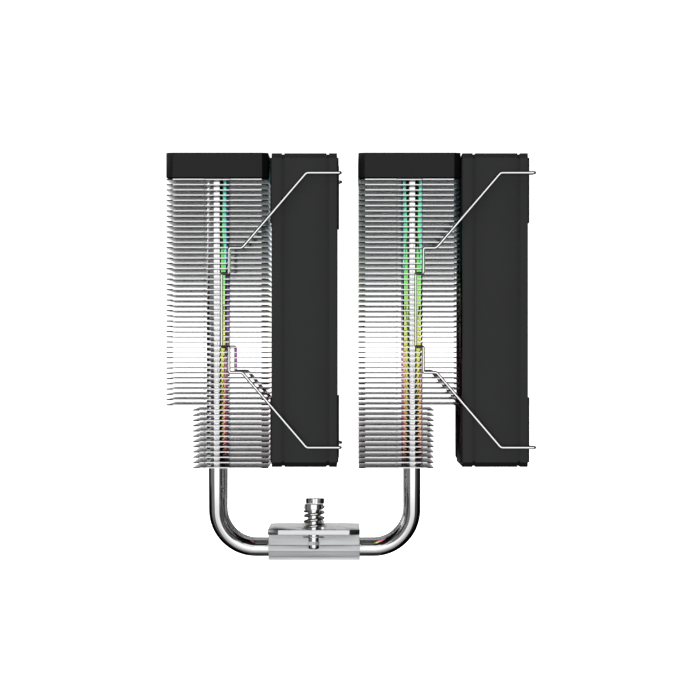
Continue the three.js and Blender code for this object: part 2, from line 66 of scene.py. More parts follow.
camera_data = bpy.data.cameras.new("camera")
camera_data.sensor_width = 36
camera_data.lens = LENS
camera_data.clip_end = 20
camera = bpy.data.objects.new("camera", camera_data)
camera.location = CAMERA_PLACE
camera.rotation_euler = (math.radians(90), 0, 0)
bpy.context.scene.collection.objects.link(camera)
bpy.context.scene.camera = camera
bpy.context.scene.view_settings.view_transform = "Standard"


def plain_nodes(tree):
    """Empties a node tree and gives back a maker of its nodes, with inputs by name or number."""
    tree.nodes.clear()

    def node(kind, settings=None, **inputs):
        made = tree.nodes.new(kind)
        for name, value in (settings or {}).items():
            setattr(made, name, value)
        for name, value in inputs.items():
            socket = made.inputs[int(name[1:]) if name[1:].isdigit() else name.replace("_", " ")]
            if isinstance(value, bpy.types.NodeSocket):
                tree.links.new(value, socket)
            else:
                socket.default_value = value
        return made

    return node


def colour_ramp(node, factor, stops):
    """A ramp through (place, grey or colour) stops."""
    made = node("ShaderNodeValToRGB", Fac=factor)
    ramp = made.color_ramp
    while len(ramp.elements) < len(stops):
        ramp.elements.new(1)
    for element, (place, colour) in zip(ramp.elements, stops):
        rgb = (colour,) * 3 if isinstance(colour, (int, float)) else colour
        element.position = place
        element.color = (*rgb, 1)
    return made.outputs["Color"]


world = bpy.data.worlds.new("studio")
world.use_nodes = True
bpy.context.scene.world = world
node = plain_nodes(world.node_tree)
direction = node("ShaderNodeTexCoord").outputs["Generated"]
axes = node("ShaderNodeSeparateXYZ", Vector=direction)
# Azimuth as a share of a turn: 0 and 1 are behind the cooler, 0.5 is the camera's side.
towards_camera = node("ShaderNodeMath", {"operation": "MULTIPLY"}, _0=axes.outputs["Y"], _1=-1.0)
azimuth = node(
    "ShaderNodeMath",
    {"operation": "ARCTAN2"},
    _0=axes.outputs["X"],
    _1=towards_camera.outputs[0],
)
turn_share = node("ShaderNodeMapRange", Value=azimuth.outputs[0])
turn_share.inputs["From Min"].default_value = -math.pi
turn_share.inputs["From Max"].default_value = math.pi
# Above the horizon: white panels behind, on the left and at the camera's side.
above = colour_ramp(
    node,
    turn_share.outputs[0],
    [
        (0.0, 1.0),
        (0.02, 1.0),
        (0.03, 0.02),
        (0.075, 0.02),
        (0.085, 1.0),
        (0.235, 1.0),
        (0.245, 0.02),
        (0.405, 0.02),
        (0.415, 1.0),
        (0.61, 1.0),
        (0.62, 0.02),
        (0.97, 0.02),
        (0.98, 1.0),
        (1.0, 1.0),
    ],
)
# Below it: the front and back panels only, with dim grey beside the front one.
beneath = colour_ramp(
    node,
    turn_share.outputs[0],
    [
        (0.0, 1.0),
        (0.02, 1.0),
        (0.03, 0.01),
        (0.22, 0.01),
        (0.26, 0.15),
        (0.40, 0.16),
        (0.415, 1.0),
        (0.60, 1.0),
        (0.61, 0.07),
        (0.68, 0.06),
        (0.72, 0.01),
        (0.97, 0.01),
        (0.98, 1.0),
        (1.0, 1.0),
    ],
)
height_share = node("ShaderNodeMapRange", Value=axes.outputs["Z"])
height_share.inputs["From Min"].default_value = -1.0
height_share.inputs["From Max"].default_value = 1.0
horizon = colour_ramp(node, height_share.outputs[0], [(0.498, 0.0), (0.502, 1.0)])
panels = node("ShaderNodeMix", {"data_type": "RGBA"}, _0=horizon, _6=beneath, _7=above)
# The front panel fades towards the floor and ends well below the ceiling. Those behind and
# on the left are low strips.
front_height = colour_ramp(
    node,
    height_share.outputs[0],
    [
        (0.0, 0.05),
        (0.03, 0.18),
        (0.105, 0.42),
        (0.205, 0.7),
        (0.3, 0.95),
        (0.45, 1.0),
        (0.71, 1.0),
        (0.775, 0.5),
        (0.85, 0.06),
        (1.0, 0.02),
    ],
)
back_height = colour_ramp(
    node,
    height_share.outputs[0],
    [(0.0, 0.03), (0.4, 0.03), (0.44, 1.0), (0.58, 1.0), (0.68, 0.25), (0.8, 0.04), (1.0, 0.02)],
)
in_front = colour_ramp(
    node, turn_share.outputs[0], [(0.27, 0.0), (0.28, 1.0), (0.73, 1.0), (0.75, 0.0)]
)
strip = node("ShaderNodeMix", {"data_type": "RGBA"}, _0=in_front, _6=back_height, _7=front_height)
room = node(
    "ShaderNodeMix",
    {"data_type": "RGBA", "blend_type": "MULTIPLY"},
    _0=1.0,
    _6=panels.outputs[2],
    _7=strip.outputs[2],
)
lit_room = node("ShaderNodeBackground", Color=room.outputs[2], Strength=PANEL_LIGHT)
white_sheet = node("ShaderNodeBackground", Color=(1, 1, 1, 1), Strength=SHEET_LIGHT)
seen_directly = node("ShaderNodeLightPath").outputs["Is Camera Ray"]
sky = node("ShaderNodeMixShader", _0=seen_directly, _1=lit_room.outputs[0], _2=white_sheet.outputs[0])
node("ShaderNodeOutputWorld", Surface=sky.outputs[0])

floor_mesh = bpy.data.meshes.new("floor")
bm = bmesh.new()
bmesh.ops.create_grid(bm, x_segments=1, y_segments=1, size=FLOOR_REACH)
bmesh.ops.translate(bm, vec=(0, 0, FLOOR_Z), verts=bm.verts)
bm.to_mesh(floor_mesh)
bm.free()
floor = bpy.data.objects.new("floor", floor_mesh)
bpy.context.scene.collection.objects.link(floor)
floor.visible_glossy = False
floor.visible_diffuse = False
floor_finish = bpy.data.materials.new("pale_floor")
floor_finish.use_nodes = True
node = plain_nodes(floor_finish.node_tree)
paper = node("ShaderNodeBsdfPrincipled", Base_Color=(0.9, 0.9, 0.9, 1), Roughness=0.9)
paper.inputs["Emission Color"].default_value = (1, 1, 1, 1)
paper.inputs["Emission Strength"].default_value = SHEET_LIGHT
node("ShaderNodeOutputMaterial", Surface=paper.outputs[0])
floor_mesh.materials.append(floor_finish)


def soft_light(name, place, target, size, watts):
    """A square area light that faces its target."""
    data = bpy.data.lights.new(name, "AREA")
    data.size = size
    data.energy = watts
    light = bpy.data.objects.new(name, data)
    light.location = place
    light.rotation_euler = (Vector(target) - Vector(place)).to_track_quat("-Z", "Y").to_euler()
    bpy.context.scene.collection.objects.link(light)
    light.visible_glossy = False


soft_light("key_light", (-1.3, -0.55, 0.5), (0, 0, 0.09), 0.7, 14)
soft_light("top_light", (0, -0.2, 1.6), (0, 0, 0), 1.2, 16)
soft_light("rear_light", (1.1, 1.5, 0.8), (0, 0, 0.09), 1.0, 40)


# ---- Cold plate ----
# A nickel-plated copper slab, milled flat below, with a round groove for each heat pipe. A
# thin lip runs round its foot, and above the lip its sides have a shallow recessed band,
# coloured darker as painted shade.

PLATE_LOW, PLATE_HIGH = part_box("cold_plate")
LIP_TOP = 1.0 * MM
BAND_TOP = 3.4 * MM
BAND_DEPTH = 0.15 * MM
BAND_MARGIN = 0.06 * MM
BASE_OUTLINE = 0.3 * MM
PIPE_COUNT = 6
PIPE_RADIUS = 3.15 * MM
PIPE_GROOVE = 3.04 * MM
PIPE_BASE_PITCH = 6.3 * MM
PIPE_BASE_Z = 4.5 * MM
GROOVE_REACH = 50 * MM
pipe_rows = [k - (PIPE_COUNT - 1) / 2 for k in range(PIPE_COUNT)]


def metal(name, colour, roughness, grain=900, grain_depth=0.02, stretch=(1, 1, 1), wear=0.12):
    """Bare or plated metal: a slightly clouded tone and a fine machined or rolled grain."""
    finish = bpy.data.materials.new(name)
    finish.use_nodes = True
    node = plain_nodes(finish.node_tree)
    place = node("ShaderNodeTexCoord").outputs["Object"]
    lines = node("ShaderNodeMapping", Vector=place, Scale=stretch).outputs[0]
    cloud = node("ShaderNodeTexNoise", Vector=place, Scale=45.0, Detail=3.0)
    low = [c * (1 - wear) for c in colour]
    tone = colour_ramp(node, cloud.outputs["Fac"], [(0.3, low), (0.7, colour)])
    fine = node("ShaderNodeTexNoise", Vector=lines, Scale=float(grain), Detail=2.0)
    gloss = node("ShaderNodeMapRange", Value=fine.outputs["Fac"])
    gloss.inputs["To Min"].default_value = roughness * 0.8
    gloss.inputs["To Max"].default_value = roughness * 1.25
    shader = node("ShaderNodeBsdfPrincipled", Base_Color=tone, Roughness=gloss.outputs[0], Metallic=1.0)
    if grain_depth:
        relief = node("ShaderNodeBump", Height=fine.outputs["Fac"], Strength=grain_depth, Distance=0.00005)
        finish.node_tree.links.new(relief.outputs[0], shader.inputs["Normal"])
    node("ShaderNodeOutputMaterial", Surface=shader.outputs[0])
    return finish


def block(bm, low, high):
    """A rectangular block between two corners. Gives back its vertices."""
    made = bmesh.ops.create_cube(bm, size=1)["verts"]
    low, high = Vector(low), Vector(high)
    bmesh.ops.scale(bm, vec=high - low, verts=made)
    bmesh.ops.translate(bm, vec=(low + high) / 2, verts=made)
    return made


def rod(bm, start, end, radius, segments=32):
    """A round bar between two points."""
    start, end = Vector(start), Vector(end)
    turned = (end - start).to_track_quat("Z", "Y").to_matrix().to_4x4()
    bmesh.ops.create_cone(
        bm,
        cap_ends=True,
        segments=segments,
        radius1=radius,
        radius2=radius,
        depth=(end - start).length,
        matrix=Matrix.Translation((start + end) / 2) @ turned,
    )


def carve(bm, cutter):
    """Takes the cutter's volume away from bm, and frees the cutter."""
    meshes = [bpy.data.meshes.new("carved"), bpy.data.meshes.new("cutter")]
    objects = []
    for source, mesh in zip((bm, cutter), meshes):
        source.to_mesh(mesh)
        objects.append(bpy.data.objects.new(mesh.name, mesh))
        bpy.context.scene.collection.objects.link(objects[-1])
    cutter.free()
    boolean = objects[0].modifiers.new("cut", "BOOLEAN")
    boolean.operation = "DIFFERENCE"
    boolean.solver = "EXACT"
    boolean.object = objects[1]
    bpy.context.view_layer.update()
    seen = objects[0].evaluated_get(bpy.context.evaluated_depsgraph_get())
    cut = seen.to_mesh()
    bm.clear()
    bm.from_mesh(cut)
    seen.to_mesh_clear()
    for made in objects:
        bpy.data.objects.remove(made)
    for mesh in meshes:
        bpy.data.meshes.remove(mesh)


def soften(bm, width, segments=2, sharper_than=40, keep=None):
    """Bevels every edge sharper than an angle, or those of them that keep picks."""
    limit = math.radians(sharper_than)
    edges = [e for e in bm.edges if len(e.link_faces) == 2 and e.calc_face_angle() > limit]
    if keep:
        edges = [e for e in edges if keep(e)]
    bmesh.ops.bevel(
        bm,
        geom=edges,
        offset=width,
        offset_type="OFFSET",
        segments=segments,
        profile=0.5,
        affect="EDGES",
        clamp_overlap=True,
        material=-1,
    )


def add_piece(name, bm, finishes, body="root", stands_for=None):
    """Makes the object, shades it smooth between edges over 35 degrees, and puts it on its body."""
    limit = math.radians(35)
    for face in bm.faces:
        face.smooth = True
    for edge in bm.edges:
        if len(edge.link_faces) == 2 and edge.calc_face_angle() > limit:
            edge.smooth = False
    mesh = bpy.data.meshes.new(name)
    bm.to_mesh(mesh)
    bm.free()
    piece = bpy.data.objects.new(name, mesh)
    bpy.context.scene.collection.objects.link(piece)
    for finish in finishes if isinstance(finishes, list) else [finishes]:
        mesh.materials.append(finish)
    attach(piece, body)
    if stands_for:
        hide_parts(stands_for)
    return piece


def groove_cutter():
    """A round bar where each heat pipe lies."""
    cutter = bmesh.new()
    for row in pipe_rows:
        y = row * PIPE_BASE_PITCH
        rod(cutter, (-GROOVE_REACH, y, PIPE_BASE_Z), (GROOVE_REACH, y, PIPE_BASE_Z), PIPE_GROOVE, 48)
    return cutter


def on_base_outline(edge):
    """Whether an edge lies on the base's four sides, away from the grooves."""
    side_x = PLATE_HIGH.x - BASE_OUTLINE
    side_y = PLATE_HIGH.y - BASE_OUTLINE
    return all(abs(v.co.x) > side_x or abs(v.co.y) > side_y for v in edge.verts)


plate_finish = metal("plated_copper", (0.82, 0.83, 0.84), 0.5, stretch=(0.04, 1, 1), wear=0.04)
# The side band's darker metal colour is painted shade.
plate_band_painted_shade_finish = metal("plated_copper_step_painted_shade", (0.55, 0.56, 0.57), 0.5, stretch=(0.04, 1, 1), wear=0.06)
bm = bmesh.new()
block(bm, PLATE_LOW, PLATE_HIGH)
for height in (LIP_TOP, BAND_TOP):
    everything = bm.verts[:] + bm.edges[:] + bm.faces[:]
    bmesh.ops.bisect_plane(bm, geom=everything, plane_co=(0, 0, height), plane_no=(0, 0, 1))
# The band's side faces are set back a little and take the darker finish, which is painted shade.
painted_shade_band_faces = [
    f
    for f in bm.faces
    if LIP_TOP < f.calc_center_median().z < BAND_TOP and abs(f.normal.z) < 0.5
]
for face in painted_shade_band_faces:
    face.material_index = 1
bmesh.ops.inset_region(
    bm, faces=painted_shade_band_faces, thickness=BAND_MARGIN, depth=-BAND_DEPTH, use_even_offset=True
)
carve(bm, groove_cutter())
soften(bm, 0.12 * MM, keep=on_base_outline)
add_piece(
    "milled_cold_plate",
    bm,
    [plate_finish, plate_band_painted_shade_finish],
    stands_for="cold_plate",
)


# ---- Top block ----
# The aluminium upper half of the base, milled with the same grooves and soldered over the
# pipes. Two tapped holes on top take the bar's screws.

BLOCK_LOW, BLOCK_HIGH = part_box("base_top_block")
SOLDER_GAP = 0.08 * MM
BAR_SCREW_Y = 12.6 * MM
BAR_SCREW_HOLE = 1.5 * MM
TAPPED_DEPTH = 2 * MM

block_finish = metal("milled_aluminium", (0.86, 0.87, 0.88), 0.5, stretch=(0.04, 1, 1), wear=0.04)
bm = bmesh.new()
block(bm, (BLOCK_LOW.x, BLOCK_LOW.y, PLATE_HIGH.z + SOLDER_GAP), BLOCK_HIGH)
cutter = groove_cutter()
for side in (-1, 1):
    y = side * BAR_SCREW_Y
    rod(cutter, (0, y, BLOCK_HIGH.z - TAPPED_DEPTH), (0, y, BLOCK_HIGH.z + MM), BAR_SCREW_HOLE)
carve(bm, cutter)
soften(bm, 0.3 * MM, keep=on_base_outline)
add_piece("milled_top_block", bm, block_finish, stands_for="base_top_block")


# ---- Clamping bar ----
# A punched, nickel-plated steel strap across the base, with its four corners cut off.
# The spring screws hang in its end holes, and two low screws hold it to the top block.

BAR_LOW, BAR_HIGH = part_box("clamping_bar")
BAR_CORNER = 4 * MM
SPRING_SCREW_HOLE = 2.6 * MM
SCREW_Y = (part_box("spring_screw_rear")[0].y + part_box("spring_screw_rear")[1].y) / 2

bar_finish = metal(
    "plated_steel_bar", (0.76, 0.76, 0.77), 0.3, stretch=(1, 0.06, 1), grain_depth=0, wear=0.04
)
bm = bmesh.new()
block(bm, BAR_LOW, BAR_HIGH)
upright = [e for e in bm.edges if abs(e.verts[0].co.z - e.verts[1].co.z) > MM]
bmesh.ops.bevel(
    bm, geom=upright, offset=BAR_CORNER, segments=1, profile=0.5, affect="EDGES", material=-1
)
cutter = bmesh.new()
for side in (-1, 1):
    for y, radius in ((SCREW_Y, SPRING_SCREW_HOLE), (BAR_SCREW_Y, BAR_SCREW_HOLE)):
        rod(cutter, (0, side * y, 0), (0, side * y, 20 * MM), radius, 40)
carve(bm, cutter)
soften(bm, 0.18 * MM)
add_piece("punched_clamping_bar", bm, bar_finish, stands_for="clamping_bar")


# ---- Bar screws ----
# Low pan-head screws, bright nickel, with a single slot. They go through the bar into the
# top block.

BAR_SCREW_SHANK = 1.2 * MM
BAR_SCREW_HEAD = 2.6 * MM
SLOT_WIDTH = 0.7 * MM
SLOT_DEPTH = 0.7 * MM

screw_finish = metal(
    "bright_screw_plate", (0.90, 0.90, 0.90), 0.06, grain=1500, grain_depth=0.01, wear=0.06
)


def turned(profile, segments=48):
    """Spins (radius, height) corners about Z. They run from axis to axis, or back to the first."""
    bm = bmesh.new()
    corners = [bm.verts.new((r, 0, z)) for r, z in profile]
    edges = [bm.edges.new(pair) for pair in zip(corners, corners[1:])]
    bmesh.ops.spin(
        bm,
        geom=corners + edges,
        cent=(0, 0, 0),
        axis=(0, 0, 1),
        angle=2 * math.pi,
        steps=segments,
        use_merge=True,
    )
    bmesh.ops.remove_doubles(bm, verts=bm.verts, dist=1e-7)
    bmesh.ops.recalc_face_normals(bm, faces=bm.faces)
    return bm


for end, side in (("front", -1), ("rear", 1)):
    low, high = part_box(f"bar_screw_{end}")
    head_foot = BAR_HIGH.z + 0.02 * MM
    bm = turned(
        [
            (0, low.z),
            (BAR_SCREW_SHANK, low.z),
            (BAR_SCREW_SHANK, head_foot),
            (BAR_SCREW_HEAD, head_foot),
            (BAR_SCREW_HEAD, high.z - 0.7 * MM),
            (2.2 * MM, high.z - 0.2 * MM),
            (1.5 * MM, high.z),
            (0, high.z),
        ]
    )
    cutter = bmesh.new()
    block(
        cutter,
        (-SLOT_WIDTH / 2, -3 * MM, high.z - SLOT_DEPTH),
        (SLOT_WIDTH / 2, 3 * MM, high.z + MM),
    )
    carve(bm, cutter)
    bmesh.ops.translate(bm, vec=(0, side * BAR_SCREW_Y, 0), verts=bm.verts)
    add_piece(f"slotted_bar_screw_{end}", bm, screw_finish, stands_for=f"bar_screw_{end}")


# ---- Heat pipes ----
# Copper tubes with bright nickel plate, bent to a U. They lie side by side in the base and
# fan out to their pitch in the fins, and their crimped ends sit under the covers.

PIPE_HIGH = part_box("heat_pipe_1")[1]
PIPE_LEG_X = 38 * MM
PIPE_LEG_SHIFT = 0.25 * MM
PIPE_FIN_PITCH = 10 * MM
PIPE_BEND = 15 * MM
PIPE_STRAIGHT_END = 18.6 * MM
PIPE_SPREAD_TOP = 34 * MM
BEND_STEPS = 18
SPREAD_STEPS = 6
CRIMP = ((5.0, 1.0), (3.2, 0.85), (1.6, 0.55), (0.6, 0.36), (0.0, 0.3))

pipe_finish = metal("bright_nickel_pipe", (0.92, 0.92, 0.92), 0.05, grain=500, grain_depth=0, wear=0.04)


def wire(name, points, radius, ring=12, narrowing=None):
    """A round tube through the points as a bmesh. narrowing gives each point's share of radius."""
    data = bpy.data.curves.new(name, "CURVE")
    data.dimensions = "3D"
    data.bevel_depth = radius
    data.bevel_resolution = ring // 2 - 2
    data.use_fill_caps = True
    data.twist_mode = "MINIMUM"
    spline = data.splines.new("POLY")
    spline.points.add(len(points) - 1)
    for k, point in enumerate(points):
        spline.points[k].co = (*point, 1)
        spline.points[k].radius = narrowing[k] if narrowing else 1
    holder = bpy.data.objects.new(name, data)
    bpy.context.scene.collection.objects.link(holder)
    bpy.context.view_layer.update()
    seen = holder.evaluated_get(bpy.context.evaluated_depsgraph_get())
    bm = bmesh.new()
    bm.from_mesh(seen.to_mesh())
    seen.to_mesh_clear()
    bpy.data.objects.remove(holder)
    bpy.data.curves.remove(data)
    bmesh.ops.remove_doubles(bm, verts=bm.verts, dist=1e-7)
    bmesh.ops.recalc_face_normals(bm, faces=bm.faces)
    return bm


def pipe_run(row):
    """Centre-line points from one crimped end to the other, and each point's share of radius."""
    bend_x = PIPE_LEG_X - PIPE_BEND
    bend_z = PIPE_BASE_Z + PIPE_BEND
    leg = [Vector((PIPE_STRAIGHT_END, 0, PIPE_BASE_Z)), Vector((bend_x, 0, PIPE_BASE_Z))]
    for k in range(1, BEND_STEPS + 1):
        angle = math.pi / 2 * k / BEND_STEPS
        reach = Vector((math.sin(angle), 0, -math.cos(angle))) * PIPE_BEND
        leg.append(Vector((bend_x, 0, bend_z)) + reach)
    for k in range(1, SPREAD_STEPS + 1):
        leg.append(Vector((PIPE_LEG_X, 0, bend_z + (PIPE_SPREAD_TOP - bend_z) * k / SPREAD_STEPS)))
    travelled = [0.0]
    for a, b in zip(leg, leg[1:]):
        travelled.append(travelled[-1] + (b - a).length)
    for point, distance in zip(leg, travelled):
        share = distance / travelled[-1]
        share = share * share * (3 - 2 * share)
        point.y = row * (PIPE_BASE_PITCH + (PIPE_FIN_PITCH - PIPE_BASE_PITCH) * share)
    shares = [1.0] * len(leg)
    for drop, share in CRIMP:
        leg.append(Vector((PIPE_LEG_X, row * PIPE_FIN_PITCH, PIPE_HIGH.z - drop * MM)))
        shares.append(share)
    other = [Vector((-p.x, p.y, p.z)) for p in reversed(leg)]
    run = [p + Vector((PIPE_LEG_SHIFT, 0, 0)) for p in other + leg]
    return run, shares[::-1] + shares


for k, row in enumerate(pipe_rows, 1):
    points, shares = pipe_run(row)
    bm = wire(f"bent_heat_pipe_{k}", points, PIPE_RADIUS, ring=28, narrowing=shares)
    add_piece(f"bent_heat_pipe_{k}", bm, pipe_finish, stands_for=f"heat_pipe_{k}")


# ---- Spring screws ----
# Turned, bright-plated captive screws with a cross recess, one at each end of the bar. The
# shank slides in the bar's hole. Below it are a groove for the retaining ring and a band of
# pale nylon that keeps the screw from working loose.

PATCH_FOOT = 6.5 * MM
PATCH_TOP = 7.8 * MM
THREAD_RADIUS = 2.15 * MM
RING_GROOVE = 1.75 * MM
SHANK_RADIUS = 2.25 * MM
SPRING_SEAT = 2.7 * MM
SCREW_HEAD = 3.68 * MM
CROSS_REACH = 2.1 * MM
CROSS_WIDTH = 0.9 * MM
CROSS_DEPTH = 1.3 * MM


def moulded(name, colour, roughness, grain=2600, grain_depth=0.25, specular=0.5):
    """Moulded plastic or rubber with a fine eroded grain and a slight mottle in its tone."""
    finish = bpy.data.materials.new(name)
    finish.use_nodes = True
    node = plain_nodes(finish.node_tree)
    place = node("ShaderNodeTexCoord").outputs["Object"]
    cloud = node("ShaderNodeTexNoise", Vector=place, Scale=60.0, Detail=4.0)
    low = [c * 0.86 for c in colour]
    tone = colour_ramp(node, cloud.outputs["Fac"], [(0.3, low), (0.7, colour)])
    fine = node("ShaderNodeTexNoise", Vector=place, Scale=float(grain), Detail=3.0)
    gloss = node("ShaderNodeMapRange", Value=fine.outputs["Fac"])
    gloss.inputs["To Min"].default_value = roughness * 0.88
    gloss.inputs["To Max"].default_value = min(roughness * 1.12, 1)
    relief = node("ShaderNodeBump", Height=fine.outputs["Fac"], Strength=grain_depth, Distance=0.00005)
    shader = node(
        "ShaderNodeBsdfPrincipled",
        Base_Color=tone,
        Roughness=gloss.outputs[0],
        Normal=relief.outputs[0],
    )
    shader.inputs["Specular IOR Level"].default_value = specular
    node("ShaderNodeOutputMaterial", Surface=shader.outputs[0])
    return finish


patch_finish = moulded("nylon_thread_patch", (0.66, 0.66, 0.66), 0.6)
for end, side in (("front", -1), ("rear", 1)):
    low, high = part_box(f"spring_screw_{end}")
    ring_low, ring_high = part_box(f"retaining_ring_{end}")
    head_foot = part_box(f"screw_spring_{end}")[1].z + 0.3 * MM
    bm = turned(
        [
            (0, low.z),
            (1.3 * MM, low.z),
            (1.9 * MM, low.z + 0.2 * MM),
            (THREAD_RADIUS, low.z + 0.6 * MM),
            (THREAD_RADIUS, PATCH_FOOT),
            (THREAD_RADIUS, PATCH_TOP),
            (THREAD_RADIUS, ring_low.z - 0.1 * MM),
            (RING_GROOVE, ring_low.z - 0.1 * MM),
            (RING_GROOVE, ring_high.z + 0.1 * MM),
            (SHANK_RADIUS, ring_high.z + 0.1 * MM),
            (SHANK_RADIUS, head_foot - 0.5 * MM),
            (SPRING_SEAT, head_foot - 0.5 * MM),
            (SPRING_SEAT, head_foot),
            (3.58 * MM, head_foot),
            (SCREW_HEAD, head_foot + 0.12 * MM),
            (SCREW_HEAD, high.z - 0.2 * MM),
            (3.5 * MM, high.z),
            (0, high.z),
        ]
    )
    for reach_x, reach_y in ((CROSS_WIDTH / 2, CROSS_REACH), (CROSS_REACH, CROSS_WIDTH / 2)):
        cutter = bmesh.new()
        cross_low = (-reach_x, -reach_y, high.z - CROSS_DEPTH)
        block(cutter, cross_low, (reach_x, reach_y, high.z + MM))
        carve(bm, cutter)
    for face in bm.faces:
        if PATCH_FOOT < face.calc_center_median().z < PATCH_TOP:
            face.material_index = 1
    bmesh.ops.translate(bm, vec=(0, side * SCREW_Y, 0), verts=bm.verts)
    add_piece(
        f"turned_spring_screw_{end}",
        bm,
        [screw_finish, patch_finish],
        body=f"spring_screw_{end}",
        stands_for=f"spring_screw_{end}",
    )


# ---- Screw springs ----
# Open-coiled compression springs of bright wire, with the end turns closed, between the bar
# and the screw's head. On the cooler each is squeezed to about half its length as the screw
# goes down; here each is built as one fixed coil that does not shorten.

SPRING_WIRE = 0.55 * MM
SPRING_RADIUS = 3.4 * MM
SPRING_TURNS = 3.6
SPRING_STEPS = 24
END_TURN = 0.5

spring_finish = metal("bright_spring_wire", (0.85, 0.85, 0.85), 0.08, grain=1500, grain_depth=0.01)
for end, side in (("front", -1), ("rear", 1)):
    foot = BAR_HIGH.z + SPRING_WIRE + 0.03 * MM
    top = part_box(f"screw_spring_{end}")[1].z + 0.25 * MM - SPRING_WIRE
    closed = 1.4 * SPRING_WIRE
    points = []
    for k in range(int(SPRING_TURNS * SPRING_STEPS) + 1):
        turns = k / SPRING_STEPS
        angle = turns * 2 * math.pi
        if turns < END_TURN:
            z = foot + closed * turns
        elif turns > SPRING_TURNS - END_TURN:
            z = top - closed * (SPRING_TURNS - turns)
        else:
            share = (turns - END_TURN) / (SPRING_TURNS - 2 * END_TURN)
            z = foot + closed * END_TURN + (top - foot - 2 * closed * END_TURN) * share
        x, y = SPRING_RADIUS * math.cos(angle), SPRING_RADIUS * math.sin(angle)
        points.append((x, side * SCREW_Y + y, z))
    name = f"coiled_screw_spring_{end}"
    spring = add_piece(
        name,
        wire(name, points, SPRING_WIRE, ring=10),
        spring_finish,
        stands_for=f"screw_spring_{end}",
    )
    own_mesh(spring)


# ---- Retaining rings ----
# Stamped spring-steel C-rings that snap into the screws' grooves just under the bar, and
# stop the springs from pushing the screws out.

RING_INNER = 2.0 * MM
RING_OUTER = 4.2 * MM
RING_SWEEP = 300
RING_START = 120

for end, side in (("front", -1), ("rear", 1)):
    low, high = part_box(f"retaining_ring_{end}")
    bm = bmesh.new()
    outline = [(RING_INNER, low.z), (RING_OUTER, low.z), (RING_OUTER, high.z), (RING_INNER, high.z)]
    section = bm.faces.new([bm.verts.new((r, 0, z)) for r, z in outline])
    start = Matrix.Rotation(math.radians(RING_START), 3, "Z")
    bmesh.ops.rotate(bm, cent=(0, 0, 0), matrix=start, verts=bm.verts)
    bmesh.ops.spin(
        bm,
        geom=[section],
        cent=(0, 0, 0),
        axis=(0, 0, 1),
        angle=math.radians(RING_SWEEP),
        steps=40,
        use_duplicate=False,
    )
    bmesh.ops.recalc_face_normals(bm, faces=bm.faces)
    soften(bm, 0.06 * MM, segments=1)
    bmesh.ops.translate(bm, vec=(0, side * SCREW_Y, 0), verts=bm.verts)
    add_piece(
        f"stamped_retaining_ring_{end}",
        bm,
        spring_finish,
        body=f"spring_screw_{end}_travel",
        stands_for=f"retaining_ring_{end}",
    )


# ---- Fin stacks ----
# Fifty-six nickel-plated aluminium fins to a tower, stamped from 0.4 mm sheet. The ends are
# folded down a little. A bright drawn collar round every pipe reaches the fin below and
# keeps the distance, and both ends have a recess for the fan clip.

FIN_COUNT = 56
SHORT_FINS = 12
FIN_SHEET = 0.4 * MM
FIN_TAB = 0.58 * MM
FIN_COLLAR_RADIUS = PIPE_RADIUS + 0.35 * MM
FIN_COLLAR_GAP = 0.02 * MM
FIN_CHAMFER = 2.5 * MM
FIN_RECESS_MOUTH = 5.1 * MM
FIN_RECESS_FLOOR = 4.5 * MM
FIN_RECESS_DEPTH = 2.5 * MM
SHORT_FIN_OUTER = 9.3 * MM

fin_finish = metal("nickel_fin_sheet", (0.82, 0.82, 0.83), 0.21, grain=700, grain_depth=0, wear=0.05)
collar_finish = metal("bright_fin_collar", (0.94, 0.94, 0.94), 0.03, grain=900, grain_depth=0, wear=0.04)


def stamped_fin(pipe_x, half_width, half_depth, outer, collar):
    """One fin in the tower's own frame, with +X outwards and its upper face at z = 0."""
    bm = bmesh.new()
    floor_y = half_depth - FIN_RECESS_DEPTH
    end = [
        (-half_width, half_depth - FIN_CHAMFER),
        (-half_width + FIN_CHAMFER, half_depth),
        (-FIN_RECESS_MOUTH, half_depth),
        (-FIN_RECESS_FLOOR, floor_y),
        (FIN_RECESS_FLOOR, floor_y),
        (FIN_RECESS_MOUTH, half_depth),
        (outer - FIN_CHAMFER, half_depth),
        (outer, half_depth - FIN_CHAMFER),
    ]
    outline = end + [(x, -y) for x, y in reversed(end)]
    corners = [bm.verts.new((x, y, 0)) for x, y in outline]
    for a, b in zip(corners, corners[1:] + corners[:1]):
        bm.edges.new((a, b))
    for row in pipe_rows:
        bmesh.ops.create_circle(
            bm,
            segments=20,
            radius=FIN_COLLAR_RADIUS,
            matrix=Matrix.Translation((pipe_x, row * PIPE_FIN_PITCH, 0)),
        )
    outline_verts = set(corners)
    bmesh.ops.triangle_fill(bm, edges=bm.edges[:], use_beauty=True)
    rim = [e for e in bm.edges if len(e.link_faces) == 1]
    on_end = [e for e in rim if all(abs(v.co.y) > half_depth - 0.01 * MM for v in e.verts)]
    on_collar = [e for e in rim if not outline_verts.intersection(e.verts)]
    for edges, height, finish in ((on_end, FIN_TAB - FIN_SHEET, 0), (on_collar, collar, 1)):
        folded = bmesh.ops.extrude_edge_only(bm, edges=edges)["geom"]
        ends = [g for g in folded if isinstance(g, bmesh.types.BMVert)]
        bmesh.ops.translate(bm, vec=(0, 0, -height), verts=ends)
        for face in {f for v in ends for f in v.link_faces}:
            face.material_index = finish
    bmesh.ops.recalc_face_normals(bm, faces=bm.faces)
    sheet = max(bm.faces, key=lambda f: abs(f.normal.z) * f.calc_area())
    if sheet.normal.z < 0:
        bmesh.ops.reverse_faces(bm, faces=bm.faces)
    bmesh.ops.solidify(bm, geom=bm.faces[:], thickness=FIN_SHEET)
    highest = max(v.co.z for v in bm.verts)
    bmesh.ops.translate(bm, vec=(0, 0, -highest), verts=bm.verts)
    return bm


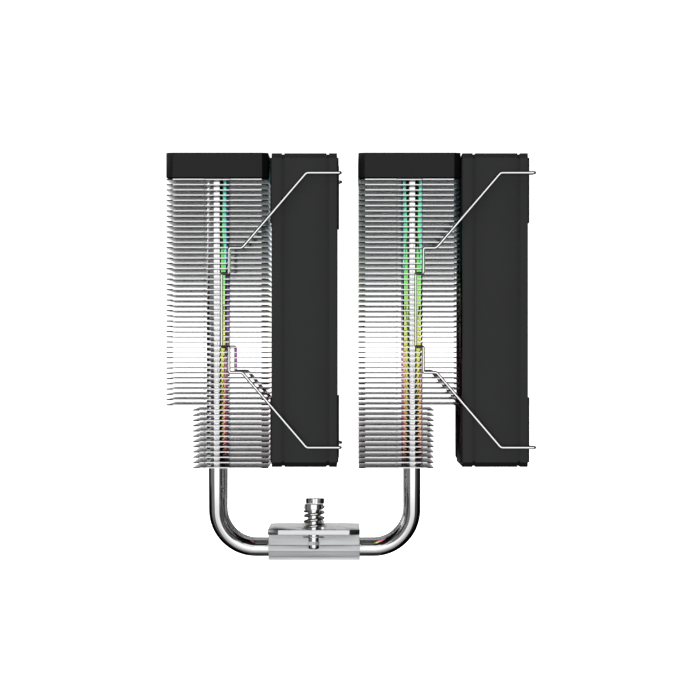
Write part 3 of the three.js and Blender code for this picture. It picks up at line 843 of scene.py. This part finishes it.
for place, side in (("left", -1), ("right", 1)):
    low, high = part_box(f"fin_stack_{place}")
    middle = (low + high) / 2
    half_width = (high.x - low.x) / 2
    half_depth = (high.y - low.y) / 2
    pipe_x = abs(side * PIPE_LEG_X + PIPE_LEG_SHIFT) - abs(middle.x)
    pitch = (high.z - low.z - FIN_TAB) / (FIN_COUNT - 1)
    stack = bmesh.new()
    for k in range(FIN_COUNT):
        outer = SHORT_FIN_OUTER if k < SHORT_FINS else half_width
        reach = FIN_TAB - FIN_SHEET if k == 0 else pitch - FIN_SHEET - FIN_COLLAR_GAP
        if k in (0, 1, SHORT_FINS):
            fin = stamped_fin(pipe_x, half_width, half_depth, outer, reach)
            pattern = bpy.data.meshes.new("fin")
            fin.to_mesh(pattern)
            fin.free()
        known = len(stack.verts)
        stack.from_mesh(pattern)
        stack.verts.ensure_lookup_table()
        lift = high.z - (FIN_COUNT - 1 - k) * pitch
        bmesh.ops.translate(stack, vec=(0, 0, lift), verts=stack.verts[known:])
    if side < 0:
        half_turn = Matrix.Rotation(math.pi, 3, "Z")
        bmesh.ops.rotate(stack, cent=(0, 0, 0), matrix=half_turn, verts=stack.verts)
    bmesh.ops.translate(stack, vec=(middle.x, 0, 0), verts=stack.verts)
    add_piece(
        f"stamped_fins_{place}",
        stack,
        [fin_finish, collar_finish],
        stands_for=f"fin_stack_{place}",
    )


# ---- Top covers ----
# Moulded black caps with a fine satin grain, pressed over the pipe ends. The wall is 1.6 mm,
# the upright corners are cut at 45 degrees and every edge is slightly rounded.

COVER_CHAMFER = 2.4 * MM
COVER_WALL = 1.6 * MM

cover_finish = moulded("satin_black_cover", (0.009, 0.009, 0.0095), 0.36, specular=0.24)
for place in ("left", "right"):
    low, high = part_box(f"top_cover_{place}")
    bm = bmesh.new()
    block(bm, low, high)
    upright = [e for e in bm.edges if abs(e.verts[0].co.z - e.verts[1].co.z) > MM]
    bmesh.ops.bevel(
        bm, geom=upright, offset=COVER_CHAMFER, segments=1, profile=0.5, affect="EDGES", material=-1
    )
    underside = [f for f in bm.faces if f.normal.z < -0.5]
    bmesh.ops.inset_region(bm, faces=underside, thickness=COVER_WALL, use_even_offset=True)
    underside = min(bm.faces, key=lambda f: (round(f.calc_center_median().z, 6), -f.calc_area()))
    raised = bmesh.ops.extrude_face_region(bm, geom=[underside])["geom"]
    bmesh.ops.translate(
        bm,
        vec=(0, 0, high.z - low.z - COVER_WALL),
        verts=[g for g in raised if isinstance(g, bmesh.types.BMVert)],
    )
    bmesh.ops.delete(bm, geom=[underside], context="FACES_ONLY")
    bmesh.ops.recalc_face_normals(bm, faces=bm.faces)
    soften(bm, 0.3 * MM, segments=3)
    add_piece(f"moulded_cover_{place}", bm, cover_finish, stands_for=f"top_cover_{place}")


# ---- Fan frames ----
# Square 120 mm frames moulded in charcoal glass-filled plastic, with a flared round duct,
# a mounting hole in each corner, two fine channels round the sides, and four struts that
# carry the motor base on the side that faces the fins.

FRAME_CHAMFER = 1.8 * MM
CHANNELS = (4.4 * MM, 21.5 * MM)
CHANNEL_WIDTH = 1.0 * MM
CHANNEL_DEPTH = 0.45 * MM
DUCT_RADIUS = 57.4 * MM
FLARE_RADIUS = 58.9 * MM
HOLE_AT = 52.5 * MM
HOLE_RADIUS = 2.2 * MM
MOTOR_RADIUS = 20.5 * MM
MOTOR_WALL = 1.3 * MM
BEARING_BORE = 4.2 * MM
BEARING_TUBE = 5.8 * MM
STRUTS = 4
STRUT_WIDTH = 4.4 * MM

frame_finish = moulded("charcoal_frame", (0.0175, 0.018, 0.0185), 0.5, specular=0.35)


def square_loop(bm, x, half, corner):
    """The edges of a square loop across X with its corners cut."""
    made = bmesh.ops.create_circle(
        bm,
        segments=4,
        radius=half * math.sqrt(2),
        matrix=Matrix.Rotation(math.radians(45), 4, "X") @ Matrix.Rotation(math.radians(90), 4, "Y"),
    )["verts"]
    bmesh.ops.translate(bm, vec=(x, 0, 0), verts=made)
    cut = bmesh.ops.bevel(
        bm, geom=made, offset=corner, segments=1, profile=0.5, affect="VERTICES", material=-1
    )
    loop = set(cut["verts"])
    return [e for e in bm.edges if loop.issuperset(e.verts)]


def along_x(bm):
    """Turns a piece made about Z to lie about X."""
    bmesh.ops.rotate(bm, cent=(0, 0, 0), matrix=Matrix.Rotation(math.radians(90), 3, "Y"), verts=bm.verts)


def fan_frame(depth, half):
    """The frame with its duct, corner holes and channels, from x = 0, about the X axis."""
    bm = bmesh.new()
    block(bm, (0, -half, -half), (depth, half, half))
    corners = [e for e in bm.edges if abs(e.verts[0].co.x - e.verts[1].co.x) > MM]
    bmesh.ops.bevel(
        bm, geom=corners, offset=FRAME_CHAMFER, segments=1, profile=0.5, affect="EDGES", material=-1
    )
    duct = turned(
        [
            (0, -MM),
            (FLARE_RADIUS, -MM),
            (FLARE_RADIUS, 0.3 * MM),
            (DUCT_RADIUS + 0.3 * MM, 2.2 * MM),
            (DUCT_RADIUS, 4 * MM),
            (DUCT_RADIUS, depth - 5 * MM),
            (DUCT_RADIUS + 0.4 * MM, depth - 2.4 * MM),
            (FLARE_RADIUS, depth - 0.3 * MM),
            (FLARE_RADIUS, depth + MM),
            (0, depth + MM),
        ],
        segments=96,
    )
    along_x(duct)
    carve(bm, duct)
    holes = bmesh.new()
    for y in (-HOLE_AT, HOLE_AT):
        for z in (-HOLE_AT, HOLE_AT):
            rod(holes, (-MM, y, z), (depth + MM, y, z), HOLE_RADIUS, 32)
    carve(bm, holes)
    for channel in CHANNELS:
        ring = bmesh.new()
        loops = []
        for edge_half in (half + 2 * MM, half - CHANNEL_DEPTH):
            loops += square_loop(ring, channel - CHANNEL_WIDTH / 2, edge_half, FRAME_CHAMFER)
        side = bmesh.ops.bridge_loops(ring, edges=loops)["faces"]
        raised = bmesh.ops.extrude_face_region(ring, geom=side)["geom"]
        bmesh.ops.translate(
            ring,
            vec=(CHANNEL_WIDTH, 0, 0),
            verts=[g for g in raised if isinstance(g, bmesh.types.BMVert)],
        )
        bmesh.ops.recalc_face_normals(ring, faces=ring.faces)
        carve(bm, ring)
    bmesh.ops.remove_doubles(bm, verts=bm.verts, dist=1e-6)
    soften(bm, 0.25 * MM, segments=2, keep=lambda e: e.calc_length() > 0.4 * MM)
    return bm


def motor_mount():
    """The motor base with its bearing tube, and the struts that reach the duct's wall."""
    bm = turned(
        [
            (BEARING_BORE, 2.6 * MM),
            (BEARING_BORE, 17.5 * MM),
            (BEARING_TUBE, 17.5 * MM),
            (BEARING_TUBE, 3.2 * MM),
            (MOTOR_RADIUS - MOTOR_WALL, 2.9 * MM),
            (MOTOR_RADIUS - MOTOR_WALL, 4.6 * MM),
            (MOTOR_RADIUS, 4.6 * MM),
            (MOTOR_RADIUS, 0.8 * MM),
            (19.7 * MM, 0.2 * MM),
            (3.0 * MM, 0.2 * MM),
            (3.0 * MM, 2.6 * MM),
            (BEARING_BORE, 2.6 * MM),
        ],
        segments=64,
    )
    along_x(bm)
    for k in range(STRUTS):
        strut = block(
            bm,
            (0.5 * MM, -STRUT_WIDTH / 2, MOTOR_RADIUS - 1.2 * MM),
            (3.2 * MM, STRUT_WIDTH / 2, DUCT_RADIUS + 0.6 * MM),
        )
        strut_corners = set(strut)
        edges = [e for e in bm.edges if strut_corners.issuperset(e.verts)]
        long_ones = [e for e in edges if abs(e.verts[0].co.z - e.verts[1].co.z) > 10 * MM]
        bmesh.ops.bevel(
            bm, geom=long_ones, offset=0.8 * MM, segments=3, profile=0.5, affect="EDGES", material=-1
        )
        foot = MOTOR_RADIUS - 1.3 * MM
        strut = [v for v in bm.verts if v.co.z > foot and abs(v.co.y) < 2.3 * MM and not v.tag]
        turn = Matrix.Rotation((k + 0.5) * 2 * math.pi / STRUTS, 3, "X")
        bmesh.ops.rotate(bm, cent=(0, 0, 0), matrix=turn, verts=strut)
        for v in bm.verts:
            v.tag = True
    return bm


# ---- Fan rotors ----
# Nine frosted blades on a cup-shaped hub, moulded in one piece of translucent white plastic,
# with a dark cap on the hub. The LED board behind the hub lights them in all hues at once.

BLADES = 9
HUB_RADIUS = 20.3 * MM
HUB_BORE = 18.8 * MM
HUB_CAP_SEAT = 18.3 * MM
HUB_BACK = 5.5 * MM
HUB_FRONT = 22 * MM
BLADE_TIP = 55.8 * MM
BLADE_SHEET = 1.3 * MM
BLADE_CAMBER = 1.6 * MM
BLADE_WIDTH = 31
BLADE_FLARE = 4
BLADE_SWEEP = 12
BLADE_PITCH = 14.5 * MM
BLADE_TWIST = 2.5 * MM
TIP_ROUND_FROM = 0.8
LIGHT_STRENGTH = 1.1


def lit_plastic(name, centre):
    """Frosted plastic, lit from behind: the hue goes once round the fan's axis."""
    finish = bpy.data.materials.new(name)
    finish.use_nodes = True
    node = plain_nodes(finish.node_tree)
    place = node("ShaderNodeTexCoord").outputs["Object"]
    offset = node("ShaderNodeMapping", Vector=place, Location=[-c for c in centre])
    axes = node("ShaderNodeSeparateXYZ", Vector=offset.outputs[0])
    angle = node("ShaderNodeMath", {"operation": "ARCTAN2"}, _0=axes.outputs["Y"], _1=axes.outputs["Z"])
    hue = node("ShaderNodeMapRange", Value=angle.outputs[0])
    hue.inputs["From Min"].default_value = -math.pi
    hue.inputs["From Max"].default_value = math.pi
    wheel = node("ShaderNodeCombineColor", {"mode": "HSV"}, _0=hue.outputs[0], _1=0.8, _2=0.92)
    across = node("ShaderNodeCombineXYZ", Y=axes.outputs["Y"], Z=axes.outputs["Z"])
    radius = node("ShaderNodeVectorMath", {"operation": "LENGTH"}, _0=across.outputs[0])
    out = node("ShaderNodeMath", {"operation": "DIVIDE"}, _0=radius.outputs["Value"], _1=BLADE_TIP)
    fade = colour_ramp(node, out.outputs[0], [(0.3, 1.0), (0.6, 0.62), (1.0, 0.8)])
    glow = node(
        "ShaderNodeMix",
        {"data_type": "RGBA", "blend_type": "MULTIPLY"},
        _0=1.0,
        _6=wheel.outputs[0],
        _7=fade,
    )
    fine = node("ShaderNodeTexNoise", Vector=place, Scale=1800.0, Detail=2.0)
    frost = node("ShaderNodeMapRange", Value=fine.outputs["Fac"])
    frost.inputs["To Min"].default_value = 0.28
    frost.inputs["To Max"].default_value = 0.45
    relief = node("ShaderNodeBump", Height=fine.outputs["Fac"], Strength=0.15, Distance=0.00005)
    milk = node("ShaderNodeTexNoise", Vector=place, Scale=50.0)
    tone = colour_ramp(node, milk.outputs["Fac"], [(0.3, (0.34, 0.35, 0.37)), (0.7, (0.42, 0.43, 0.45))])
    shader = node(
        "ShaderNodeBsdfPrincipled",
        Base_Color=tone,
        Roughness=frost.outputs[0],
        Normal=relief.outputs[0],
    )
    finish.node_tree.links.new(glow.outputs[2], shader.inputs["Emission Color"])
    shader.inputs["Emission Strength"].default_value = LIGHT_STRENGTH
    node("ShaderNodeOutputMaterial", Surface=shader.outputs[0])
    return finish


def fan_blade(index):
    """A twisted, cambered blade with rounded tip corners, bent round the X axis."""
    bm = bmesh.new()
    bmesh.ops.create_grid(bm, x_segments=10, y_segments=14, size=0.5)
    for v in bm.verts:
        along, chord = v.co.y + 0.5, v.co.x
        chord *= 1 - 0.10 * max(0, (along - TIP_ROUND_FROM) / (1 - TIP_ROUND_FROM)) ** 2
        radius = HUB_RADIUS - 0.6 * MM + (BLADE_TIP - HUB_RADIUS + 0.6 * MM) * along
        width = math.radians(BLADE_WIDTH + BLADE_FLARE * along)
        sweep = math.radians(BLADE_SWEEP * along * along)
        angle = chord * width + sweep + index * 2 * math.pi / BLADES
        camber = BLADE_CAMBER * (1 - 4 * chord * chord)
        x = (HUB_BACK + HUB_FRONT) / 2 + chord * (BLADE_PITCH - BLADE_TWIST * along) + camber
        v.co = (x, radius * math.cos(angle), radius * math.sin(angle))
    bmesh.ops.recalc_face_normals(bm, faces=bm.faces)
    bmesh.ops.solidify(bm, geom=bm.faces[:], thickness=BLADE_SHEET)
    soften(bm, 0.4 * MM, segments=2, sharper_than=60)
    return bm


def fan_hub():
    """The cup that holds the blades, with a shallow seat for its cap."""
    bm = turned(
        [
            (0, HUB_FRONT - 1.5 * MM),
            (HUB_BORE, HUB_FRONT - 1.5 * MM),
            (HUB_BORE, HUB_BACK),
            (HUB_RADIUS, HUB_BACK),
            (HUB_RADIUS, HUB_FRONT - 2.2 * MM),
            (HUB_RADIUS - 0.5 * MM, HUB_FRONT - 1.0 * MM),
            (HUB_RADIUS - 1.6 * MM, HUB_FRONT - 0.45 * MM),
            (HUB_CAP_SEAT, HUB_FRONT - 0.4 * MM),
            (HUB_CAP_SEAT, HUB_FRONT - 0.8 * MM),
            (0, HUB_FRONT - 0.8 * MM),
        ],
        segments=72,
    )
    along_x(bm)
    return bm


def hub_cap():
    """The dark disc let into the hub's front, with a fine groove round it."""
    cap_radius = HUB_CAP_SEAT - 0.2 * MM
    bm = turned(
        [
            (0, HUB_FRONT - 0.78 * MM),
            (cap_radius, HUB_FRONT - 0.78 * MM),
            (cap_radius, HUB_FRONT - 0.25 * MM),
            (17.7 * MM, HUB_FRONT - 0.05 * MM),
            (13.2 * MM, HUB_FRONT - 0.05 * MM),
            (13.0 * MM, HUB_FRONT - 0.25 * MM),
            (12.6 * MM, HUB_FRONT - 0.25 * MM),
            (12.4 * MM, HUB_FRONT - 0.05 * MM),
            (0, HUB_FRONT - 0.05 * MM),
        ],
        segments=72,
    )
    along_x(bm)
    return bm


cap_finish = moulded("black_hub_cap", (0.015, 0.015, 0.016), 0.25, grain_depth=0.05)
for place in ("middle", "outer"):
    low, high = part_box(f"{place}_fan_frame")
    centre = Vector((low.x, 0, (low.z + high.z) / 2))
    bm = fan_frame(high.x - low.x, (high.z - low.z) / 2)
    bmesh.ops.translate(bm, vec=centre, verts=bm.verts)
    add_piece(
        f"moulded_{place}_fan_frame",
        bm,
        frame_finish,
        stands_for=f"{place}_fan_frame",
    )
    bm = motor_mount()
    bmesh.ops.translate(bm, vec=centre, verts=bm.verts)
    add_piece(f"{place}_fan_motor_mount", bm, frame_finish)

    spinner = f"{place}_fan_spinner"
    bm = fan_hub()
    for k in range(BLADES):
        blade = fan_blade(k)
        shape = bpy.data.meshes.new("blade")
        blade.to_mesh(shape)
        blade.free()
        bm.from_mesh(shape)
        bpy.data.meshes.remove(shape)
    bmesh.ops.translate(bm, vec=centre, verts=bm.verts)
    rotor_finish = lit_plastic(f"lit_{place}_rotor", centre)
    add_piece(
        f"moulded_{place}_fan_rotor",
        bm,
        rotor_finish,
        body=spinner,
        stands_for=f"{place}_fan_rotor",
    )
    bm = hub_cap()
    bmesh.ops.translate(bm, vec=centre, verts=bm.verts)
    add_piece(f"{place}_fan_hub_cap", bm, cap_finish, body=spinner)


# ---- Fan motors ----
# Inside each hub: a ground steel shaft in a sintered bearing, a bonded magnet ring, four wound
# poles on a laminated core, and the round board that carries the motor's driver and the LEDs.

motor_finishes = {
    "shaft": metal("ground_steel", (0.66, 0.66, 0.67), 0.18),
    "bearing": metal("sintered_bronze", (0.60, 0.44, 0.24), 0.42, grain=3000, grain_depth=0.3),
    "magnet_ring": moulded("bonded_ferrite", (0.06, 0.057, 0.055), 0.6),
    "stator": metal(
        "enamelled_copper", (0.58, 0.30, 0.16), 0.35, grain=2500, stretch=(0.1, 1, 1), grain_depth=0.4
    ),
    "led_board": moulded("solder_mask", (0.02, 0.06, 0.035), 0.35),
}
for place in ("middle", "outer"):
    for part, finish in motor_finishes.items():
        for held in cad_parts[f"{place}_fan_{part}"].material_slots:
            held.link = "OBJECT"
            held.material = finish


# ---- Corner pads ----
# Soft black rubber plates, about half a millimetre thick, on the four corners of both faces.
# They keep the fan's hum out of the fins. Each has a round opening over the mounting hole.

PAD_OPENING = 3.3 * MM
PAD_CORNER = 1.0 * MM
PAD_ARC_STEPS = 8

rubber_finish = moulded("black_rubber", (0.010, 0.010, 0.010), 0.7, grain=1800, specular=0.3)


def corner_pad(thickness, start, end):
    """The pad of the +Y +Z corner, lying on x = 0, about the fan's centre."""
    reach = DUCT_RADIUS + PAD_CORNER
    bm = bmesh.new()
    first = math.asin(start / reach)
    sweep = math.pi / 2 - 2 * first
    arc = [first + sweep * k / PAD_ARC_STEPS for k in range(PAD_ARC_STEPS + 1)]
    outline = [(end, start), (end, end - PAD_CORNER), (end - PAD_CORNER, end), (start, end)]
    outline += [(reach * math.sin(a), reach * math.cos(a)) for a in arc]
    corners = [bm.verts.new((0, y, z)) for y, z in outline]
    for a, b in zip(corners, corners[1:] + corners[:1]):
        bm.edges.new((a, b))
    bmesh.ops.create_circle(
        bm,
        segments=24,
        radius=PAD_OPENING,
        matrix=Matrix.Translation((0, HOLE_AT, HOLE_AT)) @ Matrix.Rotation(math.radians(90), 4, "Y"),
    )
    plate = bmesh.ops.triangle_fill(bm, edges=bm.edges[:], use_beauty=True)["geom"]
    faces = [g for g in plate if isinstance(g, bmesh.types.BMFace)]
    raised = bmesh.ops.extrude_face_region(bm, geom=faces)["geom"]
    bmesh.ops.translate(
        bm, vec=(thickness, 0, 0), verts=[g for g in raised if isinstance(g, bmesh.types.BMVert)]
    )
    bmesh.ops.recalc_face_normals(bm, faces=bm.faces)
    soften(bm, 0.12 * MM, segments=2)
    return bm


for place in ("middle", "outer"):
    low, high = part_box(f"{place}_fan_frame")
    for face in ("inner", "outer"):
        for turn, corner in enumerate(("rear_top", "front_top", "front_bottom", "rear_bottom")):
            node_name = f"{place}_fan_pad_{face}_{corner}"
            pad_low, pad_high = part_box(node_name)
            touching = low.x if face == "inner" else high.x
            proud = pad_low.x if face == "inner" else pad_high.x
            nearest = min(abs(pad_low.y), abs(pad_high.y))
            farthest = max(abs(pad_low.y), abs(pad_high.y))
            bm = corner_pad(abs(proud - touching), nearest, farthest)
            quarter_turns = Matrix.Rotation(turn * math.pi / 2, 3, "X")
            bmesh.ops.rotate(bm, cent=(0, 0, 0), matrix=quarter_turns, verts=bm.verts)
            start_x = min(touching, proud)
            bmesh.ops.translate(bm, vec=(start_x, 0, (low.z + high.z) / 2), verts=bm.verts)
            add_piece(
                f"rubber_pad_{place}_{face}_{corner}", bm, rubber_finish, stands_for=node_name
            )


# ---- Fan clips ----
# Bright 1.2 mm spring-steel wire, two to a fan. The ends hook into the frame's mounting
# holes, the wire slopes down to the fins, and its middle snaps into the fins' recess.

WIRE_RADIUS = 0.6 * MM
CLIP_BEND = 0.8 * MM
CLIP_STUB = 3 * MM
CLIP_SLOPE_OUT = 12.95 * MM
CLIP_SLOPE_IN = 37.55 * MM
CLIP_SHORT_X = 42.55 * MM
CLIP_LONG_X = 45.45 * MM
CLIP_LONG_IN = 2.3 * MM
CLIP_SHORT_Z = 23.8 * MM
CLIP_LONG_Z = 14 * MM

clip_finish = metal("bright_clip_wire", (0.95, 0.95, 0.95), 0.05, grain=1500, grain_depth=0.01, wear=0.04)


def rounded(points, bend, steps=6):
    """The same run of straight stretches with each corner rounded."""
    smooth = [points[0]]
    for before, corner, after in zip(points, points[1:], points[2:]):
        reach = min(bend, (before - corner).length * 0.45, (after - corner).length * 0.45)
        start = corner + (before - corner).normalized() * reach
        end = corner + (after - corner).normalized() * reach
        for k in range(steps + 1):
            t = k / steps
            smooth.append(start.lerp(corner, t).lerp(corner.lerp(end, t), t))
    return smooth + [points[-1]]


for place in ("middle", "outer"):
    frame_low, frame_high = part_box(f"{place}_fan_frame")
    centre_z = (frame_low.z + frame_high.z) / 2
    for end, side in (("front", -1), ("rear", 1)):
        node_name = f"{place}_fan_clip_{end}"
        clip_low, clip_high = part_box(node_name)
        wire_y = max(abs(clip_low.y), abs(clip_high.y)) - WIRE_RADIUS
        end_x = clip_high.x - WIRE_RADIUS
        upper = [
            (frame_high.x - CLIP_STUB, HOLE_AT, HOLE_AT),
            (end_x, HOLE_AT, HOLE_AT),
            (end_x, wire_y, HOLE_AT),
            (end_x - CLIP_SLOPE_OUT, wire_y, HOLE_AT),
            (end_x - CLIP_SLOPE_IN, wire_y, CLIP_SHORT_Z),
            (end_x - CLIP_SHORT_X, wire_y, CLIP_SHORT_Z),
            (end_x - CLIP_SHORT_X, wire_y, CLIP_LONG_Z),
            (end_x - CLIP_LONG_X, wire_y - CLIP_LONG_IN, CLIP_LONG_Z),
        ]
        lower = [(x, y, -z) for x, y, z in reversed(upper)]
        run = [Vector((x, side * y, centre_z + z)) for x, y, z in upper + lower]
        name = f"bent_{place}_fan_clip_{end}"
        bm = wire(name, rounded(run, CLIP_BEND), WIRE_RADIUS, ring=14)
        add_piece(name, bm, clip_finish, body=node_name, stands_for=node_name)
